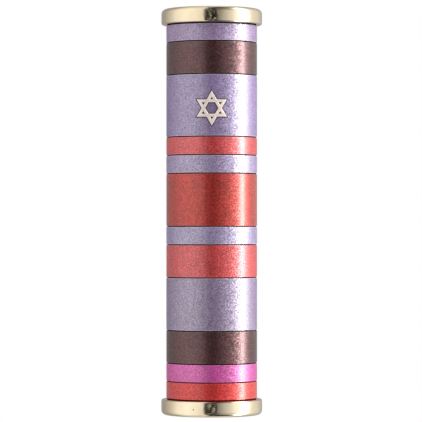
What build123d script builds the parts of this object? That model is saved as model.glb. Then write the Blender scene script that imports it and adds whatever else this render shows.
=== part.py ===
"""Mezuzah case: a stack of anodised aluminium rings on an inner tube, between two polished caps.

The wall is the plane Y = 0, and the case stands in front of it, towards -Y, with +Z up.
The origin is on the wall, half way up the case, between the two wall screws.
A dovetailed plate is screwed to the wall, and the case slides down over it on its rail.
The bottom cap is a push fit with an O-ring. It pulls down and out, and brings the scroll with it.
All sizes are in millimetres.
"""

import os
from math import cos, pi, sin

from build123d import *

os.makedirs("parts", exist_ok=True)

# Ring stack, from the top ring down: colour and height of each ring
RINGS = [
    ("lavender", 5.0),
    ("brown", 9.0),
    ("lavender", 17.0),
    ("coral", 5.0),
    ("lavender", 5.0),
    ("red", 14.5),
    ("lavender", 5.0),
    ("coral", 9.0),
    ("lavender", 14.5),
    ("brown", 9.0),
    ("magenta", 5.0),
    ("red", 5.0),
]
RING_RADIUS = 12.5
RING_BORE_RADIUS = 11.05
# A fine rebate at each end of a ring, half of the dark seam between two rings
SEAM_FLOOR_RADIUS = 12.28
SEAM_HALF_WIDTH = 0.14
SEAM_LIP_FILLET = 0.1
EMBLEM_RING = 3
SCREWED_RINGS = (3, 9)

# Inner tube that carries the rings
TUBE_RADIUS = 11.0
TUBE_BORE_RADIUS = 10.0
TUBE_SHORTFALL = 0.1  # at each end, so that the caps clamp the rings and not the tube
TUBE_LEAD_IN = 0.3

# Caps
CAP_RADIUS = 13.9
CAP_THICKNESS = 4.3
CAP_OUTER_FILLET = 1.2
CAP_INNER_FILLET = 0.45
SPIGOT_BORE_RADIUS = 7.4
SPIGOT_LEAD_IN = 0.35
TOP_SPIGOT_RADIUS = 9.98
TOP_SPIGOT_LENGTH = 4.0
BOTTOM_SPIGOT_RADIUS = 9.92
BOTTOM_SPIGOT_LENGTH = 6.0

# O-ring on the bottom cap's spigot
SEAL_SECTION_RADIUS = 0.69
SEAL_OUTER_RADIUS = 9.98
SEAL_HEIGHT = 3.2  # above the cap's shoulder
SEAL_GROOVE_WIDTH = 1.8
SEAL_GROOVE_CLEARANCE = 0.02

# Emblem on the third ring: two triangles laid over each other
EMBLEM_TIP_RADIUS = 4.7
EMBLEM_STROKE = 0.8
EMBLEM_BACK_RADIUS = 12.52
EMBLEM_FACE_RADIUS = 13.1
EMBLEM_DROP = 0.9  # below the middle of its ring
PIN_RADIUS = 0.4
PIN_HOLE_RADIUS = 0.5
PIN_TIP_RADIUS = 11.4  # distance of the pins' tips from the case's centre line

# Wall plate, a dovetail that widens away from the wall
PLATE_LENGTH = 84.0
PLATE_THICKNESS = 2.0
PLATE_WALL_WIDTH = 9.0
PLATE_FRONT_WIDTH = 11.0
PLATE_LEAD_IN = 0.8
WALL_SCREW_SPACING = 60.0
WALL_SCREW_HOLE_RADIUS = 1.7
WALL_SCREW_SINK_RADIUS = 3.2

# Rail on the back of the case
CENTRE_LINE_Y = -16.5  # the case's centre line, in front of the wall
RAIL_WIDTH = 16.0
RAIL_SIDE_DEPTH = 6.3
RAIL_WALL_GAP = 0.3
RAIL_SEAT_RADIUS = 12.52
RAIL_END_GAP = 0.4
RAIL_CORNER = 1.0
RAIL_END_CHAMFER = 0.3
DOVETAIL_GAP = 0.15

# Countersunk screws that hold the rail to the tube, through a ring each
RAIL_SCREW_HEAD_RADIUS = 1.9
RAIL_SCREW_HEAD_HEIGHT = 1.1
RAIL_SCREW_SHANK_RADIUS = 0.98
RAIL_SCREW_LENGTH = 4.1
RAIL_SCREW_HOLE_RADIUS = 1.05
RAIL_SCREW_SINK_RADIUS = 2.17
RAIL_SCREW_SOCKET = 1.3  # across flats
RAIL_SCREW_SOCKET_DEPTH = 0.75
RAIL_SCREW_SINK = 0.05  # depth of the head below the floor of the groove
COUNTERSINK_ANGLE = 90

# Parchment scroll and its clear sleeve
SHEET_THICKNESS = 0.22
SCROLL_INNER_RADIUS = 1.95
SCROLL_PITCH = 0.9  # from one turn to the next
SCROLL_TURNS = 4.2
SCROLL_POINTS_PER_TURN = 16
SCROLL_HEIGHT = 100.0
SLEEVE_RADIUS = 6.5
SLEEVE_BORE_RADIUS = 6.0
SLEEVE_HEIGHT = 100.6

STACK_HEIGHT = sum(height for _, height in RINGS)
STACK_TOP = STACK_HEIGHT / 2
STACK_FOOT = -STACK_HEIGHT / 2
CENTRE_LINE = Axis((0, CENTRE_LINE_Y, 0), (0, 0, 1))


def level(z):
    """A horizontal plane with its origin on the case's centre line."""
    return Plane(origin=(0, CENTRE_LINE_Y, z))


def section(z):
    """A vertical plane through the centre line: local X is the radius and local Y is up."""
    return Plane(origin=(0, CENTRE_LINE_Y, z), x_dir=(1, 0, 0), z_dir=(0, -1, 0))


def facing_room(y, z):
    """A vertical plane that faces away from the wall, with local Y up."""
    return Plane(origin=(0, y, z), x_dir=(1, 0, 0), z_dir=(0, -1, 0))


def facing_wall(y, z):
    """A vertical plane that faces the wall, with local Y up."""
    return Plane(origin=(0, y, z), x_dir=(-1, 0, 0), z_dir=(0, 1, 0))


def save(piece, name):
    """Labels a finished piece and writes its STEP file."""
    piece.part.label = name
    export_step(piece.part, f"parts/{name}.step")


def ring_middle(number):
    """Height of the middle of a ring, counted from 1 at the top."""
    above = sum(height for _, height in RINGS[: number - 1])
    return STACK_TOP - above - RINGS[number - 1][1] / 2


EMBLEM_HEIGHT = ring_middle(EMBLEM_RING) - EMBLEM_DROP
RAIL_SCREW_HEIGHTS = [ring_middle(number) for number in SCREWED_RINGS]
# The strokes of the two triangles cross on this radius, which is where the pins stand
EMBLEM_CROSSING_RADIUS = (EMBLEM_TIP_RADIUS - EMBLEM_STROKE) / 2 / cos(pi / 6)


def make_ring(number):
    """One anodised ring, with its pin holes or its screw hole if it has them."""
    height = RINGS[number - 1][1]
    foot = ring_middle(number) - height / 2
    with BuildPart() as ring:
        with BuildSketch(level(foot)):
            Circle(RING_RADIUS)
            Circle(RING_BORE_RADIUS, mode=Mode.SUBTRACT)
        extrude(amount=height)
        for rebate_foot in (foot, foot + height - SEAM_HALF_WIDTH):
            with BuildSketch(level(rebate_foot)):
                Circle(RING_RADIUS)
                Circle(SEAM_FLOOR_RADIUS, mode=Mode.SUBTRACT)
            extrude(amount=SEAM_HALF_WIDTH, mode=Mode.SUBTRACT)
        lips = ring.edges().filter_by(GeomType.CIRCLE).group_by(SortBy.RADIUS)[-1]
        fillet(lips, SEAM_LIP_FILLET)
        if number in SCREWED_RINGS:
            with BuildSketch(facing_wall(CENTRE_LINE_Y, ring_middle(number))):
                Circle(RAIL_SCREW_HOLE_RADIUS)
            extrude(amount=RING_RADIUS + 1, mode=Mode.SUBTRACT)
        if number == EMBLEM_RING:
            with BuildSketch(facing_room(CENTRE_LINE_Y, EMBLEM_HEIGHT)):
                with Locations((-EMBLEM_CROSSING_RADIUS, 0), (EMBLEM_CROSSING_RADIUS, 0)):
                    Circle(PIN_HOLE_RADIUS)
            extrude(amount=RING_RADIUS + 1, mode=Mode.SUBTRACT)
    return ring


for number, (colour, _) in enumerate(RINGS, start=1):
    save(make_ring(number), f"ring_{number:02d}_{colour}")


# The inner tube, with a lead-in for the spigots and a hole for each rail screw
with BuildPart() as inner_tube:
    with BuildSketch(level(STACK_FOOT + TUBE_SHORTFALL)):
        Circle(TUBE_RADIUS)
        Circle(TUBE_BORE_RADIUS, mode=Mode.SUBTRACT)
    extrude(amount=STACK_HEIGHT - 2 * TUBE_SHORTFALL)
    bore_edges = inner_tube.edges().filter_by(GeomType.CIRCLE).group_by(SortBy.RADIUS)[0]
    chamfer(bore_edges, TUBE_LEAD_IN)
    for height in RAIL_SCREW_HEIGHTS:
        with BuildSketch(facing_wall(CENTRE_LINE_Y, height)):
            Circle(RAIL_SCREW_HOLE_RADIUS)
        extrude(amount=RING_RADIUS, mode=Mode.SUBTRACT)
save(inner_tube, "inner_tube")


def make_cap(shoulder, outward, spigot_radius, spigot_length, grooved):
    """A turned cap: a disc with rounded edges, and a hollow spigot that enters the tube.

    shoulder is the height of the face that meets the rings, and outward is 1 for the top cap
    and -1 for the bottom one. A grooved spigot takes the O-ring.
    """
    profile = [
        (0, 0),
        (SPIGOT_BORE_RADIUS, 0),
        (SPIGOT_BORE_RADIUS, -outward * spigot_length),
        (spigot_radius, -outward * spigot_length),
        (spigot_radius, 0),
        (CAP_RADIUS, 0),
        (CAP_RADIUS, outward * CAP_THICKNESS),
        (0, outward * CAP_THICKNESS),
    ]
    with BuildPart() as cap:
        with BuildSketch(section(shoulder)):
            with BuildLine():
                Polyline(*profile, close=True)
            make_face()
        revolve(axis=CENTRE_LINE)
        outward_axis = Axis((0, 0, 0), (0, 0, outward))
        circles = cap.edges().filter_by(GeomType.CIRCLE)
        rim = circles.group_by(SortBy.RADIUS)[-1].sort_by(outward_axis)
        spigot_end = circles.group_by(outward_axis)[0].sort_by(SortBy.RADIUS)[-1]
        fillet(rim[-1], CAP_OUTER_FILLET)
        fillet(rim[0], CAP_INNER_FILLET)
        chamfer(spigot_end, SPIGOT_LEAD_IN)
        if grooved:
            with BuildSketch(level(shoulder - outward * SEAL_HEIGHT - SEAL_GROOVE_WIDTH / 2)):
                Circle(TUBE_RADIUS)
                Circle(SEAL_GROOVE_RADIUS, mode=Mode.SUBTRACT)
            extrude(amount=SEAL_GROOVE_WIDTH, mode=Mode.SUBTRACT)
    return cap


SEAL_MAJOR_RADIUS = SEAL_OUTER_RADIUS - SEAL_SECTION_RADIUS
SEAL_GROOVE_RADIUS = SEAL_MAJOR_RADIUS - SEAL_SECTION_RADIUS - SEAL_GROOVE_CLEARANCE
save(make_cap(STACK_TOP, 1, TOP_SPIGOT_RADIUS, TOP_SPIGOT_LENGTH, grooved=False), "top_cap")
save(make_cap(STACK_FOOT, -1, BOTTOM_SPIGOT_RADIUS, BOTTOM_SPIGOT_LENGTH, grooved=True), "bottom_cap")

with BuildPart() as o_ring:
    with BuildSketch(section(STACK_FOOT)):
        with Locations((SEAL_MAJOR_RADIUS, SEAL_HEIGHT)):
            Circle(SEAL_SECTION_RADIUS)
    revolve(axis=CENTRE_LINE)
save(o_ring, "o_ring")


def triangle_band(turn):
    """The outline of one triangle of the emblem, one stroke wide."""
    with BuildSketch() as band:
        RegularPolygon(EMBLEM_TIP_RADIUS, 3, rotation=turn)
        RegularPolygon(EMBLEM_TIP_RADIUS - 2 * EMBLEM_STROKE, 3, rotation=turn, mode=Mode.SUBTRACT)
    return band.sketch


# The emblem follows the ring's curve, and two pins locate it
with BuildPart() as emblem:
    with BuildSketch(facing_room(CENTRE_LINE_Y, EMBLEM_HEIGHT)):
        for turn in (-90, 90):
            add(triangle_band(turn))
    extrude(amount=EMBLEM_FACE_RADIUS + 1)
    with BuildSketch(level(EMBLEM_HEIGHT - EMBLEM_TIP_RADIUS - 1)):
        Circle(EMBLEM_FACE_RADIUS)
        Circle(EMBLEM_BACK_RADIUS, mode=Mode.SUBTRACT)
    extrude(amount=2 * (EMBLEM_TIP_RADIUS + 1), mode=Mode.INTERSECT)
    with BuildSketch(facing_room(CENTRE_LINE_Y - PIN_TIP_RADIUS, EMBLEM_HEIGHT)):
        with Locations((-EMBLEM_CROSSING_RADIUS, 0), (EMBLEM_CROSSING_RADIUS, 0)):
            Circle(PIN_RADIUS)
    extrude(amount=EMBLEM_BACK_RADIUS + 0.2 - PIN_TIP_RADIUS)
save(emblem, "emblem")


def dovetail(wall_y, front_y, gap):
    """The dovetail's section between two depths, gap wider than the plate on each side."""
    slope = (PLATE_FRONT_WIDTH - PLATE_WALL_WIDTH) / 2 / PLATE_THICKNESS
    wall_half = PLATE_WALL_WIDTH / 2 - slope * wall_y + gap
    front_half = PLATE_WALL_WIDTH / 2 - slope * front_y + gap
    corners = [(wall_half, wall_y), (front_half, front_y), (-front_half, front_y), (-wall_half, wall_y)]
    with BuildSketch() as outline:
        Polygon(*corners, align=None)
    return outline.sketch


# The wall plate, with a countersunk hole at each end
with BuildPart() as wall_plate:
    with BuildSketch(Plane.XY.offset(-PLATE_LENGTH / 2)):
        add(dovetail(0, -PLATE_THICKNESS, 0))
    extrude(amount=PLATE_LENGTH)
    top_edges = wall_plate.faces().sort_by(Axis.Z)[-1].edges().sort_by(Axis.X)
    chamfer([top_edges[0], top_edges[-1]], PLATE_LEAD_IN)
    for height in (-WALL_SCREW_SPACING / 2, WALL_SCREW_SPACING / 2):
        with Locations(facing_room(-PLATE_THICKNESS, height)):
            CounterSinkHole(
                WALL_SCREW_HOLE_RADIUS,
                WALL_SCREW_SINK_RADIUS,
                counter_sink_angle=COUNTERSINK_ANGLE,
            )
save(wall_plate, "wall_plate")

# The rail, with a groove that the plate enters from below and that stops on the plate's top edge
RAIL_FOOT = STACK_FOOT + RAIL_END_GAP
RAIL_LENGTH = STACK_HEIGHT - 2 * RAIL_END_GAP
GROOVE_FLOOR_Y = -PLATE_THICKNESS - DOVETAIL_GAP
with BuildPart() as mount_rail:
    with BuildSketch(Plane.XY.offset(RAIL_FOOT)):
        with Locations((0, -RAIL_WALL_GAP - RAIL_SIDE_DEPTH / 2)):
            Rectangle(RAIL_WIDTH, RAIL_SIDE_DEPTH)
        with Locations((0, CENTRE_LINE_Y)):
            Circle(RAIL_SEAT_RADIUS, mode=Mode.SUBTRACT)
    extrude(amount=RAIL_LENGTH)
    back_corners = mount_rail.edges().filter_by(Axis.Z).group_by(Axis.Y)[-1]
    fillet(back_corners, RAIL_CORNER)
    for end in (mount_rail.faces().sort_by(Axis.Z)[0], mount_rail.faces().sort_by(Axis.Z)[-1]):
        outside = [
            edge
            for edge in end.edges()
            if edge.geom_type == GeomType.LINE or edge.radius < RAIL_SEAT_RADIUS
        ]
        chamfer(outside, RAIL_END_CHAMFER)
    with BuildSketch(Plane.XY.offset(RAIL_FOOT)):
        add(dovetail(0, GROOVE_FLOOR_Y, DOVETAIL_GAP))
    extrude(amount=PLATE_LENGTH / 2 - RAIL_FOOT, mode=Mode.SUBTRACT)
    for height in RAIL_SCREW_HEIGHTS:
        with Locations(facing_wall(GROOVE_FLOOR_Y, height)):
            CounterSinkHole(
                RAIL_SCREW_HOLE_RADIUS,
                RAIL_SCREW_SINK_RADIUS,
                counter_sink_angle=COUNTERSINK_ANGLE,
            )
save(mount_rail, "mount_rail")


def screw_profile():
    """Half of a countersunk screw, from the flat of its head down to its tip."""
    cone_height = RAIL_SCREW_HEAD_RADIUS - RAIL_SCREW_SHANK_RADIUS
    return [
        (0, 0),
        (RAIL_SCREW_HEAD_RADIUS, 0),
        (RAIL_SCREW_HEAD_RADIUS, cone_height - RAIL_SCREW_HEAD_HEIGHT),
        (RAIL_SCREW_SHANK_RADIUS, -RAIL_SCREW_HEAD_HEIGHT),
        (RAIL_SCREW_SHANK_RADIUS, -RAIL_SCREW_LENGTH),
        (0, -RAIL_SCREW_LENGTH),
    ]


with BuildPart() as rail_screws:
    for height in RAIL_SCREW_HEIGHTS:
        with BuildSketch(Plane(origin=(0, GROOVE_FLOOR_Y - RAIL_SCREW_SINK, height))):
            with BuildLine():
                Polyline(*screw_profile(), close=True)
            make_face()
        revolve(axis=Axis((0, 0, height), (0, 1, 0)))
        with BuildSketch(facing_wall(GROOVE_FLOOR_Y - RAIL_SCREW_SINK, height)):
            RegularPolygon(RAIL_SCREW_SOCKET / 2, 6, major_radius=False)
        extrude(amount=-RAIL_SCREW_SOCKET_DEPTH, mode=Mode.SUBTRACT)
save(rail_screws, "rail_screws")


def spiral_point(turns, offset):
    """A point of the rolled sheet's surface, in the plane of the roll."""
    radius = SCROLL_INNER_RADIUS + SCROLL_PITCH * turns + offset
    return (radius * cos(2 * pi * turns), radius * sin(2 * pi * turns))


# The parchment, rolled up and standing on the bottom cap
steps = round(SCROLL_TURNS * SCROLL_POINTS_PER_TURN)
inner_points = [spiral_point(i / SCROLL_POINTS_PER_TURN, 0) for i in range(steps + 1)]
outer_points = [spiral_point(i / SCROLL_POINTS_PER_TURN, SHEET_THICKNESS) for i in range(steps + 1)]
with BuildPart() as parchment_scroll:
    with BuildSketch(level(STACK_FOOT)):
        with BuildLine():
            Spline(*inner_points)
            Line(inner_points[-1], outer_points[-1])
            Spline(*outer_points)
            Line(inner_points[0], outer_points[0])
        make_face()
    extrude(amount=SCROLL_HEIGHT)
save(parchment_scroll, "parchment_scroll")

with BuildPart() as scroll_sleeve:
    with BuildSketch(level(STACK_FOOT)):
        Circle(SLEEVE_RADIUS)
        Circle(SLEEVE_BORE_RADIUS, mode=Mode.SUBTRACT)
    extrude(amount=SLEEVE_HEIGHT)
save(scroll_sleeve, "scroll_sleeve")
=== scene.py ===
from math import cos, pi, radians, sin, sqrt

import bmesh
import bpy
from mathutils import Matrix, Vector, noise


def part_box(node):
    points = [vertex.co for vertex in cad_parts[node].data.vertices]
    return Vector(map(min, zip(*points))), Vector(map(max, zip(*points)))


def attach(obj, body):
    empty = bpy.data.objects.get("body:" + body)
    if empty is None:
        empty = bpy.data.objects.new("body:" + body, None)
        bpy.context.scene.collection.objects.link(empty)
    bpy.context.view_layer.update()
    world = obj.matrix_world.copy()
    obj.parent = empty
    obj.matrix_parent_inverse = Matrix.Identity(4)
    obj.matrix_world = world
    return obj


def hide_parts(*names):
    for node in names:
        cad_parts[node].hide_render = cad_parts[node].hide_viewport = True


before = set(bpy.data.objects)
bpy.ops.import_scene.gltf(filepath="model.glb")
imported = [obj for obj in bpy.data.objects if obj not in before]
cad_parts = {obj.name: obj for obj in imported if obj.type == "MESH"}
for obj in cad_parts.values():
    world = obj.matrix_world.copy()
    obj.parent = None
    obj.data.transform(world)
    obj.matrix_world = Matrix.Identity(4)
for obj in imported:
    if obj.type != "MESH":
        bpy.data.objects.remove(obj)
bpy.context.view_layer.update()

MM = 0.001
RING_SEGMENTS = 240
CAP_SEGMENTS = 288
SLEEVE_SEGMENTS = 160

# ---------------------------------------------------------------------------
# Sizes, read from the frame
# ---------------------------------------------------------------------------

RINGS = sorted(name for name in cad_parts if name.startswith("ring_"))


def size_of(node):
    """A node's lowest and highest corners as vectors."""
    low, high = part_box(node)
    return Vector(low), Vector(high)


def radius_of(node):
    """Outer radius of a round upright node."""
    low, high = size_of(node)
    return (high.x - low.x) / 2


tube_low, tube_high = size_of("inner_tube")
AXIS_X = (tube_low.x + tube_high.x) / 2
AXIS_Y = (tube_low.y + tube_high.y) / 2
RING_RADIUS = radius_of(RINGS[0])
CAP_RADIUS = radius_of("top_cap")
STACK_TOP = size_of(RINGS[0])[1].z
STACK_FOOT = size_of(RINGS[-1])[0].z

# ---------------------------------------------------------------------------
# Mesh helpers
# ---------------------------------------------------------------------------


def new_piece(name, mesh, material, body, node):
    """Links a finished mesh as a piece that rides on a body and stands for a CAD node."""
    piece = bpy.data.objects.new(name, mesh)
    bpy.context.scene.collection.objects.link(piece)
    mesh.materials.append(material)
    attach(piece, body)
    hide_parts(node)
    return piece


def shade(mesh, sharp_angle=40):
    """Smooth shading that keeps corners steeper than sharp_angle crisp."""
    mesh.polygons.foreach_set("use_smooth", [True] * len(mesh.polygons))
    mesh.set_sharp_from_angle(angle=radians(sharp_angle))


def arc(centre, radius, start, end, steps):
    """Points of an arc in the profile plane, from one angle to another in degrees."""
    points = []
    for i in range(steps + 1):
        angle = radians(start + (end - start) * i / steps)
        points.append((centre[0] + radius * cos(angle), centre[1] + radius * sin(angle)))
    return points


def line(start, end, steps):
    """Evenly spaced points from start to end, without the end."""
    return [
        (start[0] + (end[0] - start[0]) * i / steps, start[1] + (end[1] - start[1]) * i / steps)
        for i in range(steps)
    ]


def circle(radius, degrees):
    """A point at an angle on a circle round the origin."""
    return radius * cos(radians(degrees)), radius * sin(radians(degrees))


def lathe(name, profile, segments=RING_SEGMENTS, closed=True, shift=None, marks=None):
    """Turns a profile of (radius, height) points round the case's centre line.

    A profile that isn't closed starts and ends on the axis. shift(angle, radius, height) may
    move a point in or out, and marks maps an attribute's name to a function of (radius, height).
    """
    verts, faces, places = [], [], []
    rings = profile if closed else profile[1:-1]
    count = len(rings)
    for i in range(segments):
        angle = 2 * pi * i / segments
        for radius, height in rings:
            moved = radius + (shift(angle, radius, height) if shift else 0)
            verts.append((AXIS_X + moved * cos(angle), AXIS_Y + moved * sin(angle), height))
            places.append((radius, height))
    spans = count if closed else count - 1
    for i in range(segments):
        here, there = i * count, (i + 1) % segments * count
        for j in range(spans):
            k = (j + 1) % count
            faces.append((here + j, there + j, there + k, here + k))
    if not closed:
        for point, j, order in ((profile[0], 0, 1), (profile[-1], count - 1, -1)):
            pole = len(verts)
            verts.append((AXIS_X, AXIS_Y, point[1]))
            places.append(point)
            for i in range(segments):
                corner = (pole, (i + 1) % segments * count + j, i * count + j)
                faces.append(corner[::order])
    mesh = bpy.data.meshes.new(name)
    mesh.from_pydata(verts, [], faces)
    for attribute, value in (marks or {}).items():
        layer = mesh.attributes.new(attribute, "FLOAT", "POINT")
        layer.data.foreach_set("value", [value(r, h) for r, h in places])
    repair = bmesh.new()
    repair.from_mesh(mesh)
    bmesh.ops.recalc_face_normals(repair, faces=repair.faces)
    repair.to_mesh(mesh)
    repair.free()
    shade(mesh)
    return mesh


# ---------------------------------------------------------------------------
# Material helpers
# ---------------------------------------------------------------------------


MIDDLE = (0.3, 0.7)  # the span that most of a noise's values lie in
EDGE_SHARPNESS = 6.0


class Nodes:
    """A short way to write a node tree: each call adds one node and returns its output."""

    def __init__(self, tree):
        self.tree = tree

    def add(self, kind, **settings):
        node = self.tree.nodes.new(kind)
        for name, value in settings.items():
            setattr(node, name, value)
        return node

    def put(self, socket, value):
        """Links value to a socket, or sets the socket to it."""
        if isinstance(value, bpy.types.NodeSocket):
            self.tree.links.new(value, socket)
        elif value is not None:
            socket.default_value = value

    def math(self, operation, first, second=None, third=None):
        node = self.add("ShaderNodeMath", operation=operation)
        for socket, value in zip(node.inputs, (first, second, third)):
            self.put(socket, value)
        return node.outputs[0]

    def vector(self, operation, first, second=None, output="Vector"):
        node = self.add("ShaderNodeVectorMath", operation=operation)
        self.put(node.inputs[0], first)
        self.put(node.inputs["Scale" if operation == "SCALE" else 1], second)
        return node.outputs[output]

    def place(self, scale=(1, 1, 1)):
        """Position in the row's frame, in metres, stretched by scale."""
        coordinates = self.add("ShaderNodeTexCoord").outputs["Object"]
        return self.vector("MULTIPLY", coordinates, scale)

    def noise(self, vector, scale, detail=2.0, roughness=0.5):
        node = self.add("ShaderNodeTexNoise")
        self.put(node.inputs["Vector"], vector)
        self.put(node.inputs["Scale"], scale)
        self.put(node.inputs["Detail"], detail)
        self.put(node.inputs["Roughness"], roughness)
        return node.outputs["Fac"]

    def cells(self, vector, scale, output="Color"):
        node = self.add("ShaderNodeTexVoronoi")
        self.put(node.inputs["Vector"], vector)
        self.put(node.inputs["Scale"], scale)
        return node.outputs[output]

    def attribute(self, name):
        return self.add("ShaderNodeAttribute", attribute_name=name).outputs["Fac"]

    def spread(self, value, low, high, start=0.0, end=1.0):
        """Maps value from start..end to low..high, held at both ends."""
        node = self.add("ShaderNodeMapRange")
        for socket, number in zip(node.inputs, (value, start, end, low, high)):
            self.put(socket, number)
        return node.outputs[0]

    def mix(self, amount, first, second):
        """Blends two colours; inputs 6 and 7 are the colour sockets of the Mix node."""
        node = self.add("ShaderNodeMix", data_type="RGBA")
        self.put(node.inputs["Factor"], amount)
        self.put(node.inputs[6], first)
        self.put(node.inputs[7], second)
        return node.outputs[2]

    def grey(self, colour):
        node = self.add("ShaderNodeRGBToBW")
        self.put(node.inputs[0], colour)
        return node.outputs[0]

    def edges(self, radius):
        """How near a point is to an outside or inside edge, from 0 to 1."""
        rounded = self.add("ShaderNodeBevel")
        self.put(rounded.inputs["Radius"], radius)
        flat = self.add("ShaderNodeNewGeometry").outputs["Normal"]
        likeness = self.vector("DOT_PRODUCT", rounded.outputs[0], flat, output="Value")
        return self.math("MULTIPLY", self.math("SUBTRACT", 1.0, likeness), EDGE_SHARPNESS)

    def bump(self, height, strength, distance, normal=None):
        node = self.add("ShaderNodeBump")
        self.put(node.inputs["Height"], height)
        self.put(node.inputs["Strength"], strength)
        self.put(node.inputs["Distance"], distance)
        self.put(node.inputs["Normal"], normal)
        return node.outputs[0]


def new_material(name):
    """An empty node material, its helper and its Principled shader."""
    material = bpy.data.materials.new(name)
    material.use_nodes = True
    nodes = Nodes(material.node_tree)
    shader = material.node_tree.nodes["Principled BSDF"]
    return material, nodes, shader


def rgb(red, green, blue):
    """A colour from 0 to 255 as the eye sees it, as linear light."""
    return tuple(((v / 255 + 0.055) / 1.055) ** 2.4 for v in (red, green, blue)) + (1.0,)


def darker(colour, amount):
    return tuple(v * amount for v in colour[:3]) + (1.0,)


# ---------------------------------------------------------------------------
# Materials
# ---------------------------------------------------------------------------


GRAIN_SCALE = 4200  # grains per metre, about a quarter of a millimetre each
GRAIN_TILT = 0.32  # how far a grain of strength 1 leans over
GRAIN_SPARKLE = 1.2  # how much such a grain varies the dye
GRAIN_GLINT = 0.5  # how much it varies the sheen
TURNING = (30, 30, 4200)  # turning marks run round the case, and are close together along it
CLOUD_SCALE = 240
STREAKS = 0.35
# Colour of the painted highlight on the rings' lips
PAINTED_LIP_HIGHLIGHT = (0.75, 0.72, 0.74, 1.0)
WHITE = (1, 1, 1, 1)
HALF = (0.5, 0.5, 0.5)


def anodised(name, dye, metal, sheen, rough, seal, lip_highlight, grain, brushing, tint=WHITE):
    """Dyed aluminium: a saturated dye over metal, a pale grainy sheen, turning marks, painted shade
    in the seams.

    metal is the share of light that the metal under the dye reflects, sheen the refractive index
    of the dyed layer and rough its roughness. seal is the strength of the clear seal on it,
    lip_highlight how pale the lips are painted, a painted highlight on their rounded edges,
    grain and brushing are the strengths of the two textures, and tint is the colour of the sheen.
    """
    material, nodes, shader = new_material(name)
    here = nodes.place()
    painted_seam_shade, lip = nodes.attribute("painted_seam_shade"), nodes.attribute("lip")
    cloud = nodes.spread(nodes.noise(here, CLOUD_SCALE, detail=3), 0.0, 1.0, 0.35, 0.65)
    fleck = nodes.cells(here, GRAIN_SCALE)
    turned = nodes.noise(nodes.place(TURNING), 1.0, detail=4, roughness=0.75)

    tone = nodes.mix(cloud, darker(dye, 0.92), darker(dye, 1.08))
    sparkle = nodes.spread(nodes.grey(fleck), 1 - GRAIN_SPARKLE * grain, 1 + GRAIN_SPARKLE * grain)
    streak = nodes.spread(turned, 1 - STREAKS * brushing, 1 + STREAKS * brushing, *MIDDLE)
    dyed = nodes.vector("SCALE", nodes.vector("SCALE", tone, sparkle), streak)
    # Lips are blended towards pale metal: a painted highlight on their rounded edges.
    polished = nodes.mix(nodes.math("MULTIPLY", lip, lip_highlight), dyed, PAINTED_LIP_HIGHLIGHT)
    # Seam faces go near black, with no metal, sheen or seal: painted shade in the grooves between
    # rings and beside the caps.
    nodes.put(shader.inputs["Base Color"], nodes.mix(painted_seam_shade, polished, darker(dye, 0.1)))
    nodes.put(shader.inputs["Metallic"], nodes.spread(painted_seam_shade, metal, 0.0))
    nodes.put(shader.inputs["IOR"], sheen)
    nodes.put(shader.inputs["Specular Tint"], tint)
    glint = nodes.spread(nodes.grey(fleck), 0.5 - GRAIN_GLINT * grain, 0.5 + GRAIN_GLINT * grain)
    nodes.put(shader.inputs["Specular IOR Level"], nodes.spread(painted_seam_shade, glint, 0.02))
    nodes.put(shader.inputs["Coat Weight"], nodes.spread(painted_seam_shade, seal, 0.0))
    nodes.put(shader.inputs["Coat Roughness"], nodes.spread(cloud, 0.14, 0.2))

    roughness = nodes.spread(turned, rough - 0.08 * brushing, rough + 0.04 * brushing, *MIDDLE)
    in_seam = nodes.math("MULTIPLY", painted_seam_shade, 0.4)
    nodes.put(shader.inputs["Roughness"], nodes.math("ADD", roughness, in_seam))
    tilt = nodes.vector("SCALE", nodes.vector("SUBTRACT", fleck, HALF), GRAIN_TILT * grain)
    facing = nodes.bump(turned, 0.5 * brushing, 0.02 * MM)
    nodes.put(shader.inputs["Normal"], nodes.vector("NORMALIZE", nodes.vector("ADD", facing, tilt)))
    return material


PIT_CORE, PIT_RIM = 0.1 * MM, 0.26 * MM  # distances at which a pit is quite dark, and ends


def polished_gold(name, pit=None):
    """Pale champagne gold, polished by hand: soft ripples, hairline scratches and faint smears.

    pit is the place of a tiny dark pit, in the row's frame.
    """
    material, nodes, shader = new_material(name)
    here = nodes.place()
    tarnish = nodes.noise(here, 160, detail=4)
    tarnished = nodes.spread(tarnish, 0.0, 1.0, 0.4, 0.7)
    surface = nodes.mix(tarnished, rgb(220, 205, 178), rgb(210, 193, 162))
    if pit:
        distance = nodes.vector("DISTANCE", here, pit, output="Value")
        outside = nodes.spread(distance, 0.0, 1.0, PIT_CORE, PIT_RIM)
        surface = nodes.mix(outside, rgb(58, 44, 30), surface)
    nodes.put(shader.inputs["Base Color"], surface)
    nodes.put(shader.inputs["Metallic"], 1.0)
    smear = nodes.noise(here, 420, detail=3)
    scratches = nodes.noise(nodes.place((60, 60, 5200)), 1.0, detail=5, roughness=0.75)
    nodes.put(shader.inputs["Roughness"], nodes.spread(smear, 0.05, 0.15, 0.35, 0.7))
    ripples = nodes.bump(nodes.noise(here, 330, detail=2), 0.5, 0.07 * MM)
    nodes.put(shader.inputs["Normal"], nodes.bump(scratches, 0.15, 0.006 * MM, ripples))
    return material


def bare_metal(name, colour, roughness, stretch):
    """Plain machined metal, with its marks drawn out along the axis that stretch makes small."""
    material, nodes, shader = new_material(name)
    marks = nodes.noise(nodes.place(stretch), 1.0, detail=5, roughness=0.7)
    stain = nodes.noise(nodes.place(), 140, detail=3)
    nodes.put(
        shader.inputs["Base Color"],
        nodes.mix(nodes.spread(stain, 0.0, 1.0, *MIDDLE), darker(colour, 0.9), colour),
    )
    nodes.put(shader.inputs["Metallic"], 1.0)
    worn = nodes.spread(marks, roughness - 0.08, roughness + 0.1, *MIDDLE)
    nodes.put(shader.inputs["Roughness"], worn)
    nodes.put(shader.inputs["Normal"], nodes.bump(marks, 0.3, 0.01 * MM))
    return material


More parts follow.
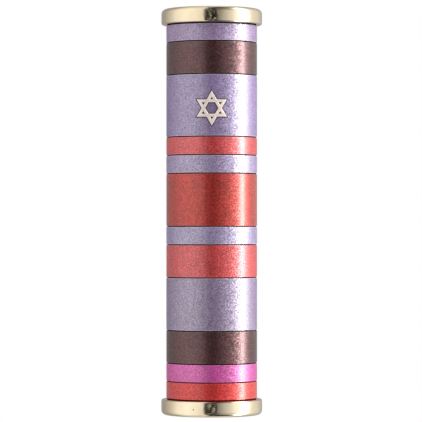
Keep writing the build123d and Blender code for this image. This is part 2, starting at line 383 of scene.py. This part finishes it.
def rubber():
    """Black moulded rubber with a dusty bloom."""
    material, nodes, shader = new_material("black_rubber")
    bloom = nodes.noise(nodes.place(), 900, detail=3)
    nodes.put(shader.inputs["Base Color"], nodes.mix(bloom, rgb(20, 20, 21), rgb(38, 38, 40)))
    nodes.put(shader.inputs["Roughness"], nodes.spread(bloom, 0.4, 0.62, *MIDDLE))
    nodes.put(shader.inputs["Normal"], nodes.bump(bloom, 0.2, 0.02 * MM))
    return material


def parchment():
    """Scraped skin: warm, mottled, with fine follicle marks and fibres."""
    material, nodes, shader = new_material("parchment")
    here = nodes.place()
    mottle = nodes.noise(here, 110, detail=5)
    follicles = nodes.cells(here, 1900, output="Distance")
    fibres = nodes.noise(nodes.place((300, 300, 2600)), 1.0, detail=4)
    pale = nodes.spread(mottle, 0.0, 1.0, 0.35, 0.65)
    warm = nodes.mix(pale, rgb(214, 190, 148), rgb(236, 220, 186))
    spots = nodes.spread(follicles, 0.0, 1.0, 0.05, 0.3)
    nodes.put(shader.inputs["Base Color"], nodes.mix(spots, rgb(196, 168, 124), warm))
    nodes.put(shader.inputs["Roughness"], nodes.spread(fibres, 0.5, 0.75, *MIDDLE))
    nodes.put(shader.inputs["Subsurface Weight"], 0.12)
    nodes.put(shader.inputs["Subsurface Radius"], (0.9 * MM, 0.6 * MM, 0.35 * MM))
    nodes.put(shader.inputs["Normal"], nodes.bump(fibres, 0.4, 0.04 * MM))
    return material


def clear_plastic():
    """Thin clear tube with faint drawing lines."""
    material, nodes, shader = new_material("clear_plastic")
    lines = nodes.noise(nodes.place((900, 900, 12)), 1.0, detail=3)
    nodes.put(shader.inputs["Base Color"], rgb(226, 238, 242))
    nodes.put(shader.inputs["Roughness"], nodes.spread(lines, 0.05, 0.14, *MIDDLE))
    nodes.put(shader.inputs["Alpha"], 0.14)
    nodes.put(shader.inputs["IOR"], 1.5)
    nodes.put(shader.inputs["Specular IOR Level"], 0.9)
    nodes.put(shader.inputs["Normal"], nodes.bump(lines, 0.15, 0.01 * MM))
    return material


# ---------------------------------------------------------------------------
# Rings
# ---------------------------------------------------------------------------

RING_BORE = 11.05 * MM
SEAM_FLOOR = 12.28 * MM  # radius of the bottom of the groove between two rings
SEAM_HALF = 0.14 * MM
LIP_ROUND = 0.1 * MM
END_SEAM = 0.34 * MM  # the gap next to a cap
LIP_HIGHLIGHT_RUN = 0.08 * MM  # where the face begins past a lip's round, so how far the lip's painted highlight runs on to it
LIP_REACH = 1.2 * LIP_ROUND  # how far from a seam a point still belongs to its lip
LIP_FOOT = RING_RADIUS - 1.01 * LIP_ROUND  # radius just inside the lips, where the seam begins
LIP_STEPS = 5
FACE_STEP = 1.5 * MM

FINISHES = {
    "lavender": dict(
        dye=rgb(102, 73, 130), metal=0.12, sheen=2.76, rough=0.44,
        seal=0.1, lip_highlight=0.3, grain=0.48, brushing=0.3,
    ),
    "brown": dict(
        dye=rgb(71, 13, 15), metal=0.72, sheen=2.54, rough=0.37,
        seal=0.25, lip_highlight=0.06, grain=0.5, brushing=1.3,
    ),
    "coral": dict(
        dye=rgb(182, 25, 28), metal=0.38, sheen=2.28, rough=0.38,
        seal=0.25, lip_highlight=0.1, grain=0.45, brushing=0.4,
    ),
    "red": dict(
        dye=rgb(161, 15, 5), metal=0.57, sheen=2.06, rough=0.37,
        seal=0.5, lip_highlight=0.06, grain=0.46, brushing=0.8, tint=(1, 0.95, 0.82, 1),
    ),
    "magenta": dict(
        dye=rgb(178, 36, 133), metal=0.3, sheen=2.28, rough=0.39,
        seal=0.12, lip_highlight=0.1, grain=0.45, brushing=0.3,
    ),
}
# The dye took a little differently on some rings
VARIATIONS = {
    "ring_01_lavender": dict(dye=rgb(118, 88, 133), sheen=2.45),
    "ring_05_lavender": dict(dye=rgb(115, 91, 137)),
    "ring_07_lavender": dict(dye=rgb(113, 94, 138)),
    "ring_09_lavender": dict(dye=rgb(101, 73, 116)),
    "ring_12_red": dict(dye=rgb(188, 26, 29), metal=0.38, sheen=1.8, seal=0.4),
}


def ring_profile(foot, top, low_seam, high_seam):
    """Section of a ring: a plain bore, and outside a face with rounded lips over the seams."""
    low_lip = (RING_RADIUS - LIP_ROUND, foot + low_seam + LIP_ROUND)
    high_lip = (RING_RADIUS - LIP_ROUND, top - high_seam - LIP_ROUND)
    steps = max(4, round((top - foot) / FACE_STEP))
    profile = [(RING_BORE, foot), (SEAM_FLOOR, foot), (SEAM_FLOOR, foot + low_seam)]
    profile += arc(low_lip, LIP_ROUND, -90, 0, LIP_STEPS)
    face_foot, face_top = low_lip[1] + LIP_HIGHLIGHT_RUN, high_lip[1] - LIP_HIGHLIGHT_RUN
    profile += line((RING_RADIUS, face_foot), (RING_RADIUS, face_top), steps)
    profile += [(RING_RADIUS, face_top)]
    profile += arc(high_lip, LIP_ROUND, 0, 90, LIP_STEPS)
    profile += [(SEAM_FLOOR, top - high_seam), (SEAM_FLOOR, top), (RING_BORE, top)]
    return profile


def make_ring(node):
    """One ring in its own colour."""
    colour_name = node.rsplit("_", 1)[1]
    low, high = size_of(node)
    finish = {**FINISHES[colour_name], **VARIATIONS.get(node, {})}
    material = anodised(f"anodised_{node}", **finish)
    low_seam = END_SEAM if node == RINGS[-1] else SEAM_HALF
    high_seam = END_SEAM if node == RINGS[0] else SEAM_HALF
    profile = ring_profile(low.z, high.z, low_seam, high_seam)

    # The groove faces, which the material paints near black as painted shade.
    def painted_seam_shade(radius, height):
        return 1.0 if radius < LIP_FOOT else 0.0

    def lip(radius, height):
        edge = min(height - low.z - low_seam, high.z - high_seam - height)
        return 1.0 if 0 < edge < LIP_REACH and not painted_seam_shade(radius, height) else 0.0

    mesh = lathe(node, profile, marks={"painted_seam_shade": painted_seam_shade, "lip": lip})
    new_piece(f"{node}_turned", mesh, material, "case", node)


for ring_node in RINGS:
    make_ring(ring_node)

# ---------------------------------------------------------------------------
# Caps
# ---------------------------------------------------------------------------

CAP_ROUND = 1.2 * MM
CAP_INNER_ROUND = 0.45 * MM
CAP_MIDDLE = 1 * MM  # radius of the fan of faces that closes a cap's face
CAP_BARREL = 0.05 * MM  # how far the rim's ends fall back from its middle
RIPPLE = 0.035 * MM
RIPPLES_ROUND, RIPPLES_ALONG = 2.2, 0.22  # how close the ripples are round the rim and along it
SPIGOT_BORE = 7.4 * MM
SPIGOT_LEAD_IN = 0.35 * MM


def ripple(angle, radius, height):
    """How far turning and hand polishing have taken a point of a cap's rim inwards."""
    if radius < RING_RADIUS:
        return 0.0
    across, out = cos(angle) * RIPPLES_ROUND, sin(angle) * RIPPLES_ROUND
    spot = Vector((across, out, height / MM * RIPPLES_ALONG))
    ends = (STACK_TOP, top_high.z) if height > 0 else (bottom_low.z, STACK_FOOT)
    from_middle = (2 * height - ends[0] - ends[1]) / (ends[1] - ends[0])
    return -RIPPLE * (0.5 + 0.5 * noise.noise(spot)) - CAP_BARREL * from_middle**2


def cap_profile(shoulder, face, spigot_tip, spigot_radius, groove=None):
    """Section of a cap from the axis out over its face, round its rim and down its spigot."""
    outward = 1 if face > shoulder else -1
    rim_top = face - outward * CAP_ROUND
    rim_foot = shoulder + outward * CAP_INNER_ROUND
    corner = (CAP_RADIUS - CAP_ROUND, rim_top)
    inner_corner = (CAP_RADIUS - CAP_INNER_ROUND, rim_foot)
    points = [(0, face)] + line((CAP_MIDDLE, face), (CAP_RADIUS - CAP_ROUND, face), 12)
    points += arc(corner, CAP_ROUND, 90 * outward, 0, 12)
    points += line((CAP_RADIUS, rim_top), (CAP_RADIUS, rim_foot), 10)[1:]
    points += arc(inner_corner, CAP_INNER_ROUND, 0, -90 * outward, 8)
    points += line((CAP_RADIUS - CAP_INNER_ROUND, shoulder), (spigot_radius, shoulder), 6)[1:]
    points += [(spigot_radius, shoulder)]
    if groove:
        floor, low, high = groove
        points += [(spigot_radius, low), (floor, low), (floor, high), (spigot_radius, high)]
    points += [
        (spigot_radius, spigot_tip + outward * SPIGOT_LEAD_IN),
        (spigot_radius - SPIGOT_LEAD_IN, spigot_tip),
        (SPIGOT_BORE, spigot_tip),
        (SPIGOT_BORE, shoulder),
        (0, shoulder),
    ]
    return points


TOP_SPIGOT_RADIUS = 9.98 * MM
BOTTOM_SPIGOT_RADIUS = 9.92 * MM
SEAL_GROOVE_RADIUS = 8.58 * MM
top_low, top_high = size_of("top_cap")
bottom_low, bottom_high = size_of("bottom_cap")
seal_low, seal_high = size_of("o_ring")
SEAL_HEIGHT = (seal_low.z + seal_high.z) / 2
SEAL_GROOVE_HALF = 0.9 * MM

top_mesh = lathe(
    "top_cap",
    cap_profile(STACK_TOP, top_high.z, top_low.z, TOP_SPIGOT_RADIUS),
    segments=CAP_SEGMENTS,
    closed=False,
    shift=ripple,
)
top_gold = polished_gold("champagne_gold_top")
new_piece("top_cap_polished", top_mesh, top_gold, "case", "top_cap")

groove = (SEAL_GROOVE_RADIUS, SEAL_HEIGHT - SEAL_GROOVE_HALF, SEAL_HEIGHT + SEAL_GROOVE_HALF)
bottom_mesh = lathe(
    "bottom_cap",
    cap_profile(STACK_FOOT, bottom_low.z, bottom_high.z, BOTTOM_SPIGOT_RADIUS, groove),
    segments=CAP_SEGMENTS,
    closed=False,
    shift=ripple,
)
PIT_ANGLE = radians(-111)
PIT_HEIGHT = (bottom_low.z + STACK_FOOT) / 2
pit_place = (
    AXIS_X + CAP_RADIUS * cos(PIT_ANGLE),
    AXIS_Y + CAP_RADIUS * sin(PIT_ANGLE),
    PIT_HEIGHT,
)
bottom_gold = polished_gold("champagne_gold_bottom", pit_place)
new_piece(
    "bottom_cap_polished", bottom_mesh, bottom_gold, "bottom_cap", "bottom_cap"
)

# ---------------------------------------------------------------------------
# Emblem
# ---------------------------------------------------------------------------

emblem_low, emblem_high = size_of("emblem")
EMBLEM_CENTRE = (emblem_low.z + emblem_high.z) / 2
EMBLEM_TIP = (emblem_high.z - emblem_low.z) / 2
EMBLEM_FACE = AXIS_Y - emblem_low.y
EMBLEM_BACK = RING_RADIUS + 0.02 * MM  # the bent plate's hollow back, just clear of the ring
EMBLEM_STROKE = 0.8 * MM
EMBLEM_EDGE = 0.13 * MM
BEND_STEP = 0.25 * MM
WELD = 0.001 * MM
SLIVER = 0.002 * MM  # edges shorter than this are dissolved


def regular(radius, corners, turn):
    """Corners of a regular polygon about the middle of the emblem; turn is in degrees."""
    return [circle(radius, turn + 360 * i / corners) for i in range(corners)]


def star_outlines(grow):
    """Outline of two laid-over triangles and the windows between them, all widened by grow."""
    tip = EMBLEM_TIP + 2 * grow
    notch = tip / sqrt(3)
    outer = []
    for spike, dent in zip(regular(tip, 6, 90), regular(notch, 6, 120)):
        outer += [spike, dent]
    inner_height = EMBLEM_TIP / 2 - EMBLEM_STROKE - grow
    windows = [regular(inner_height / cos(radians(30)), 6, 0)]
    small = (EMBLEM_TIP / 2 - 2 * EMBLEM_STROKE - 2 * grow) * 2 / 3
    reach = EMBLEM_TIP / 2 + small / 2 + grow
    for turn in range(30, 390, 60):
        across, up = circle(reach, turn)
        windows.append([(across + x, up + y) for x, y in regular(small, 3, turn)])
    return [outer] + windows


def bent_plate(name, outlines, back, face, edge):
    """A flat plate with rounded edges, cut to the outlines and bent round the centre line."""
    curve = bpy.data.curves.new(name, "CURVE")
    curve.dimensions = "2D"
    curve.fill_mode = "BOTH"
    curve.extrude = (face - back) / 2 - edge
    curve.bevel_depth = edge
    curve.bevel_resolution = 3
    curve.offset = -edge
    for outline in outlines:
        spline = curve.splines.new("POLY")
        spline.points.add(len(outline) - 1)
        for point, (across, up) in zip(spline.points, outline):
            point.co = (across, up, 0, 1)
        spline.use_cyclic_u = True
    pattern = bpy.data.objects.new(name, curve)
    flat = bpy.data.meshes.new_from_object(pattern)
    bpy.data.objects.remove(pattern)

    plate = bmesh.new()
    plate.from_mesh(flat)
    bmesh.ops.remove_doubles(plate, verts=plate.verts, dist=WELD)
    reach = max(abs(x) for outline in outlines for x, _ in outline)
    cuts = int(reach / BEND_STEP)
    for i in range(-cuts, cuts + 1):
        bmesh.ops.bisect_plane(
            plate,
            geom=plate.verts[:] + plate.edges[:] + plate.faces[:],
            dist=WELD / 2,
            plane_co=(i * BEND_STEP, 0, 0),
            plane_no=(1, 0, 0),
        )
    bmesh.ops.dissolve_degenerate(plate, dist=SLIVER, edges=plate.edges)
    for point in plate.verts:
        across, up, out = point.co
        radius = (back + face) / 2 + out
        point.co = (AXIS_X + across, AXIS_Y - sqrt(radius**2 - across**2), EMBLEM_CENTRE + up)
    bmesh.ops.recalc_face_normals(plate, faces=plate.faces)
    mesh = bpy.data.meshes.new(name)
    plate.to_mesh(mesh)
    plate.free()
    bpy.data.meshes.remove(flat)
    shade(mesh, sharp_angle=30)
    return mesh


def satin_gold():
    """Pale plated gold with a fine blasted finish, worn a little brighter at the edges."""
    material, nodes, shader = new_material("satin_gold")
    here = nodes.place()
    grit = nodes.cells(here, 9000)
    mottle = nodes.spread(nodes.noise(here, 700, detail=3), 0.0, 1.0, *MIDDLE)
    edge = nodes.edges(0.12 * MM)
    plain = nodes.mix(mottle, rgb(214, 198, 188), rgb(226, 212, 206))
    worn = nodes.math("MULTIPLY", edge, 0.5)
    nodes.put(shader.inputs["Base Color"], nodes.mix(worn, plain, rgb(240, 228, 226)))
    nodes.put(shader.inputs["Metallic"], 0.25)
    nodes.put(shader.inputs["IOR"], 1.9)
    nodes.put(shader.inputs["Roughness"], nodes.spread(mottle, 0.4, 0.52))
    tilt = nodes.vector("SCALE", nodes.vector("SUBTRACT", grit, HALF), 0.12)
    geometry = nodes.add("ShaderNodeNewGeometry").outputs["Normal"]
    facing = nodes.vector("NORMALIZE", nodes.vector("ADD", geometry, tilt))
    nodes.put(shader.inputs["Normal"], facing)
    return material


def emblem_shadow_bead():
    """A thin dark bead round the emblem: painted shadow of the emblem on the ring."""
    material, nodes, shader = new_material("emblem_shadow_bead")
    patches = nodes.noise(nodes.place(), 1500, detail=2)
    nodes.put(shader.inputs["Base Color"], nodes.mix(patches, rgb(44, 36, 38), rgb(76, 64, 68)))
    nodes.put(shader.inputs["Roughness"], nodes.spread(patches, 0.4, 0.7, *MIDDLE))
    nodes.put(shader.inputs["Normal"], nodes.bump(patches, 0.3, 0.01 * MM))
    return material


# A dark bead a little wider than the emblem, lying on the ring: painted shadow round the emblem's
# edge.
SHADOW_BEAD_SPREAD = 0.25 * MM
SHADOW_BEAD_BACK = RING_RADIUS + 0.005 * MM
SHADOW_BEAD_FACE = RING_RADIUS + 0.085 * MM
SHADOW_BEAD_EDGE = 0.03 * MM
emblem_mesh = bent_plate("emblem", star_outlines(0), EMBLEM_BACK, EMBLEM_FACE, EMBLEM_EDGE)
new_piece("emblem_plate", emblem_mesh, satin_gold(), "case", "emblem")
shadow_bead_mesh = bent_plate(
    "painted_shadow_bead", star_outlines(SHADOW_BEAD_SPREAD), SHADOW_BEAD_BACK, SHADOW_BEAD_FACE, SHADOW_BEAD_EDGE
)
new_piece("emblem_painted_shadow", shadow_bead_mesh, emblem_shadow_bead(), "case", "emblem")

# ---------------------------------------------------------------------------
# O-ring, scroll and sleeve
# ---------------------------------------------------------------------------


MOULD_FLASH = 0.025 * MM


def moulded_ring(node):
    """Section of an O-ring, round but for the fine flash line that its mould leaves."""
    low, high = size_of(node)
    section_radius = (high.z - low.z) / 2
    middle = (radius_of(node) - section_radius, (low.z + high.z) / 2)
    points = []
    for angle in range(0, 360, 10):
        across, up = circle(section_radius - (MOULD_FLASH if angle % 180 else 0), angle)
        points.append((middle[0] + across, middle[1] + up))
    return points


seal_mesh = lathe("o_ring", moulded_ring("o_ring"))
new_piece("o_ring_moulded", seal_mesh, rubber(), "seal", "o_ring")

scroll_low, scroll_high = size_of("parchment_scroll")
SHEET_THICKNESS = 0.22 * MM
ROLL_CORE = 1.95 * MM  # radius of the hole down the middle
ROLL_PITCH = 0.9 * MM
ROLL_TURNS = 4.2
ROLL_STEPS = 300
ROLL_ROWS = 60
EDGE_WAVE = 0.35 * MM
BUCKLE = 0.08 * MM


def rolled_sheet(name):
    """A sheet rolled into a spiral, buckled a little, with hand-cut edges not quite straight."""
    shape = bmesh.new()
    columns = []
    for i in range(ROLL_STEPS + 1):
        turn = ROLL_TURNS * i / ROLL_STEPS
        foot = scroll_low.z + EDGE_WAVE * (0.5 + 0.5 * noise.noise(Vector((turn * 2.3, 3, 0))))
        top = scroll_high.z - EDGE_WAVE * (0.5 + 0.5 * noise.noise(Vector((turn * 2.7, 9, 0))))
        column = []
        for j in range(ROLL_ROWS + 1):
            height = foot + (top - foot) * j / ROLL_ROWS
            buckle = BUCKLE * noise.noise(Vector((turn * 1.7, height / MM * 0.09, 5)))
            core = ROLL_CORE + ROLL_PITCH * turn + buckle
            angle = 2 * pi * turn
            pair = []
            for radius in (core, core + SHEET_THICKNESS):
                spot = (AXIS_X + radius * cos(angle), AXIS_Y + radius * sin(angle), height)
                pair.append(shape.verts.new(spot))
            column.append(pair)
        columns.append(column)
    for here, there in zip(columns, columns[1:]):
        for j in range(ROLL_ROWS):
            shape.faces.new((here[j][0], here[j + 1][0], there[j + 1][0], there[j][0]))
            shape.faces.new((here[j][1], there[j][1], there[j + 1][1], here[j + 1][1]))
        for row in (0, ROLL_ROWS):
            shape.faces.new((here[row][0], there[row][0], there[row][1], here[row][1]))
    for column in (columns[0], columns[-1]):
        for j in range(ROLL_ROWS):
            shape.faces.new((column[j][0], column[j][1], column[j + 1][1], column[j + 1][0]))
    bmesh.ops.recalc_face_normals(shape, faces=shape.faces)
    mesh = bpy.data.meshes.new(name)
    shape.to_mesh(mesh)
    shape.free()
    shade(mesh)
    return mesh


scroll_mesh = rolled_sheet("parchment")
new_piece("parchment_rolled", scroll_mesh, parchment(), "scroll", "parchment_scroll")

sleeve_low, sleeve_high = size_of("scroll_sleeve")
SLEEVE_RADIUS = radius_of("scroll_sleeve")
SLEEVE_BORE = SLEEVE_RADIUS - 0.5 * MM
SLEEVE_LIP = 0.25 * MM


def sleeve_profile():
    """Section of the clear sleeve, with both ends fire-polished round."""
    middle = (SLEEVE_RADIUS + SLEEVE_BORE) / 2
    foot, top = sleeve_low.z + SLEEVE_LIP, sleeve_high.z - SLEEVE_LIP
    outside = line((SLEEVE_RADIUS, foot), (SLEEVE_RADIUS, top), 24)
    inside = line((SLEEVE_BORE, top), (SLEEVE_BORE, foot), 24)
    top_end = arc((middle, top), SLEEVE_LIP, 0, 180, 8)[:-1]
    bottom_end = arc((middle, foot), SLEEVE_LIP, 180, 360, 8)[:-1]
    return outside + top_end + inside + bottom_end


new_piece(
    "scroll_sleeve_clear",
    lathe("scroll_sleeve", sleeve_profile(), segments=SLEEVE_SEGMENTS),
    clear_plastic(),
    "scroll",
    "scroll_sleeve",
)

# ---------------------------------------------------------------------------
# CAD nodes that keep their shape
# ---------------------------------------------------------------------------


def dress(node, material, edge=0.0):
    """Gives a CAD node a finished material, and breaks its sharp edges if edge isn't 0."""
    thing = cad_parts[node]
    if not thing.material_slots:
        thing.data.materials.append(material)
    for slot in thing.material_slots:
        slot.link = "OBJECT"
        slot.material = material
    if edge:
        rounding = thing.modifiers.new("broken_edges", "BEVEL")
        rounding.width = edge
        rounding.segments = 3
        rounding.limit_method = "ANGLE"
        rounding.angle_limit = radians(35)


ALONG = (2600, 2600, 25)
AROUND = (25, 25, 2600)
BROKEN_EDGE = 0.12 * MM
graphite = bare_metal("graphite_aluminium", rgb(92, 92, 98), 0.42, ALONG)
dress("mount_rail", graphite, edge=BROKEN_EDGE)
plate_steel = bare_metal("wall_plate_steel", rgb(186, 186, 188), 0.3, ALONG)
dress("wall_plate", plate_steel, edge=BROKEN_EDGE)
dress("inner_tube", bare_metal("plain_aluminium", rgb(200, 200, 203), 0.28, AROUND))
dress("rail_screws", bare_metal("screw_steel", rgb(180, 180, 184), 0.25, AROUND))

# ---------------------------------------------------------------------------
# Studio
# ---------------------------------------------------------------------------

# Brightness of the light tent by direction, in degrees from the camera's side to the right
TENT = [
    (-180, 0.40),
    (-164, 0.45),
    (-138, 0.47),
    (-122, 0.66),
    (-104, 0.92),
    (-88, 1.30),
    (-60, 1.55),
    (-34, 1.34),
    (-20, 1.15),
    (-15, 0.06),
    (9, 0.02),
    (17, 0.38),
    (32, 0.76),
    (46, 1.10),
    (60, 1.6),
    (70, 2.4),
    (77, 8.0),
    (81, 19.0),
    (89, 19.5),
    (92, 7.0),
    (95, 1.7),
    (106, 1.3),
    (117, 1.1),
    (128, 0.98),
    (145, 0.75),
    (162, 0.50),
    (180, 0.40),
]
BRIGHTEST = max(level for _, level in TENT)
# Each gap is given as where it begins, where it is full, where it stops being full and its end.
# The tent is thin above and below eye level between these directions, and between these heights,
# where 1 is straight up
SIDE_GAP = (-18, -12, 50, 66)
SIDE_GAP_HEIGHT = (0.14, 0.4, 0.8, 0.95)
SIDE_GAP_DEPTH = 0.45
ROOF_LEVEL = 1.0
ROOF_START = (0.74, 0.86)  # how high the roof of the tent, and its floor, begin
# The roof and the floor are open on the camera's side, from a little left to some way right
ROOF_GAP = (-0.14, -0.08, 0.46, 0.62)
ROOF_GAP_END = (0.0, 0.15)  # where the opening ends, going from the camera's side to the wall
ROOF_GAP_DEPTH = 0.96
KIT = (-17, -13, 11, 17)  # directions between which camera and stand show in reflections
KIT_SCALE = 7.0
KIT_SQUASH = 4.0
KIT_EDGES = (0.55, 0.66)  # values of the noise at which a shape begins, and is at its brightest
KIT_BRIGHTNESS = 0.75


def band(nodes, value, edges):
    """1 where value lies between the two middle edges, falling to 0 at the outer two."""
    rise = nodes.spread(value, 0.0, 1.0, edges[0], edges[1])
    return nodes.math("MULTIPLY", rise, nodes.spread(value, 1.0, 0.0, edges[2], edges[3]))


def light_tent():
    """A white tent with a gap for the camera and a strip light on the right.

    The camera itself sees plain white.
    """
    world = bpy.data.worlds.new("studio")
    world.use_nodes = True
    bpy.context.scene.world = world
    nodes = Nodes(world.node_tree)
    direction = nodes.add("ShaderNodeTexCoord").outputs["Generated"]
    parts = nodes.add("ShaderNodeSeparateXYZ")
    nodes.put(parts.inputs[0], direction)
    towards = nodes.math("MULTIPLY", parts.outputs["Y"], -1.0)
    turn = nodes.math("ARCTAN2", parts.outputs["X"], towards)
    degrees = nodes.math("MULTIPLY", turn, 180 / pi)
    ramp = nodes.add("ShaderNodeValToRGB")
    nodes.put(ramp.inputs[0], nodes.math("MULTIPLY_ADD", degrees, 1 / 360, 0.5))
    stops = ramp.color_ramp.elements
    while len(stops) < len(TENT):
        stops.new(0.5)
    for stop, (place, level) in zip(stops, TENT):
        stop.position = place / 360 + 0.5
        stop.color = (level / BRIGHTEST,) * 3 + (1.0,)

    steepness = nodes.math("ABSOLUTE", parts.outputs["Z"])
    beside = band(nodes, degrees, SIDE_GAP)
    thin = nodes.math("MULTIPLY", beside, band(nodes, steepness, SIDE_GAP_HEIGHT))
    side = nodes.math("MULTIPLY_ADD", thin, -SIDE_GAP_DEPTH, 1.0)
    walls = nodes.math("MULTIPLY", nodes.math("MULTIPLY", ramp.outputs[0], BRIGHTEST), side)
    overhead = nodes.spread(steepness, 0.0, 1.0, *ROOF_START)
    near_side = nodes.spread(parts.outputs["Y"], 1.0, 0.0, *ROOF_GAP_END)
    roof_gap = nodes.math("MULTIPLY", band(nodes, parts.outputs["X"], ROOF_GAP), near_side)
    covered = nodes.math("MULTIPLY_ADD", roof_gap, -ROOF_GAP_DEPTH, 1.0)
    roof = nodes.math("MULTIPLY", nodes.math("MULTIPLY", covered, overhead), ROOF_LEVEL)
    level = nodes.math("MULTIPLY_ADD", walls, nodes.math("SUBTRACT", 1.0, overhead), roof)
    squashed = nodes.vector("MULTIPLY", direction, (1, 1, KIT_SQUASH))
    shapes = nodes.spread(nodes.noise(squashed, KIT_SCALE), 0.0, KIT_BRIGHTNESS, *KIT_EDGES)
    kit = nodes.math("MULTIPLY", shapes, band(nodes, degrees, KIT))

    tent = world.node_tree.nodes["Background"]
    nodes.put(tent.inputs["Color"], WHITE)
    nodes.put(tent.inputs["Strength"], nodes.math("ADD", level, kit))
    backdrop = nodes.add("ShaderNodeBackground")
    nodes.put(backdrop.inputs["Color"], WHITE)
    seen = nodes.add("ShaderNodeLightPath").outputs["Is Camera Ray"]
    chosen = nodes.add("ShaderNodeMixShader")
    nodes.put(chosen.inputs[0], seen)
    nodes.put(chosen.inputs[1], tent.outputs[0])
    nodes.put(chosen.inputs[2], backdrop.outputs[0])
    nodes.put(world.node_tree.nodes["World Output"].inputs["Surface"], chosen.outputs[0])


FLOOR_DEPTH = 0.175
FLOOR_RADIUS = 1.3
FLOOR_SIDES = 96
FLOOR_PAPER = (0.92, 0.92, 0.92, 1)


def floor():
    """A plain pale floor, below the pulled-out bottom cap, that can be seen only from above."""
    mesh = bpy.data.meshes.new("floor")
    rim = [(*circle(FLOOR_RADIUS, 360 * i / FLOOR_SIDES), -FLOOR_DEPTH) for i in range(FLOOR_SIDES)]
    mesh.from_pydata(rim, [], [tuple(range(FLOOR_SIDES))])
    thing = bpy.data.objects.new("floor", mesh)
    bpy.context.scene.collection.objects.link(thing)
    material, nodes, shader = new_material("floor_paper")
    nodes.put(shader.inputs["Base Color"], FLOOR_PAPER)
    nodes.put(shader.inputs["Roughness"], 0.9)
    underside = nodes.add("ShaderNodeNewGeometry").outputs["Backfacing"]
    nodes.put(shader.inputs["Alpha"], nodes.math("SUBTRACT", 1.0, underside))
    mesh.materials.append(material)
    thing.visible_glossy = False


CAMERA_DISTANCE = 0.741
CAMERA_X = -0.19 * MM
CAMERA_Z = -5.0 * MM
TARGET_Z = 0.25 * MM
FIELD_OF_VIEW = 8.98


def camera():
    """A long lens level with the case, a little below its middle."""
    data = bpy.data.cameras.new("camera")
    data.sensor_fit = "HORIZONTAL"
    data.angle = radians(FIELD_OF_VIEW)
    data.clip_start = 0.05
    data.clip_end = 20
    thing = bpy.data.objects.new("camera", data)
    bpy.context.scene.collection.objects.link(thing)
    thing.location = (AXIS_X + CAMERA_X, AXIS_Y - CAMERA_DISTANCE, CAMERA_Z)
    target = Vector((AXIS_X + CAMERA_X, AXIS_Y, TARGET_Z))
    thing.rotation_euler = (target - thing.location).to_track_quat("-Z", "Y").to_euler()
    bpy.context.scene.camera = thing


light_tent()
floor()
camera()
bpy.context.scene.view_settings.view_transform = "Standard"
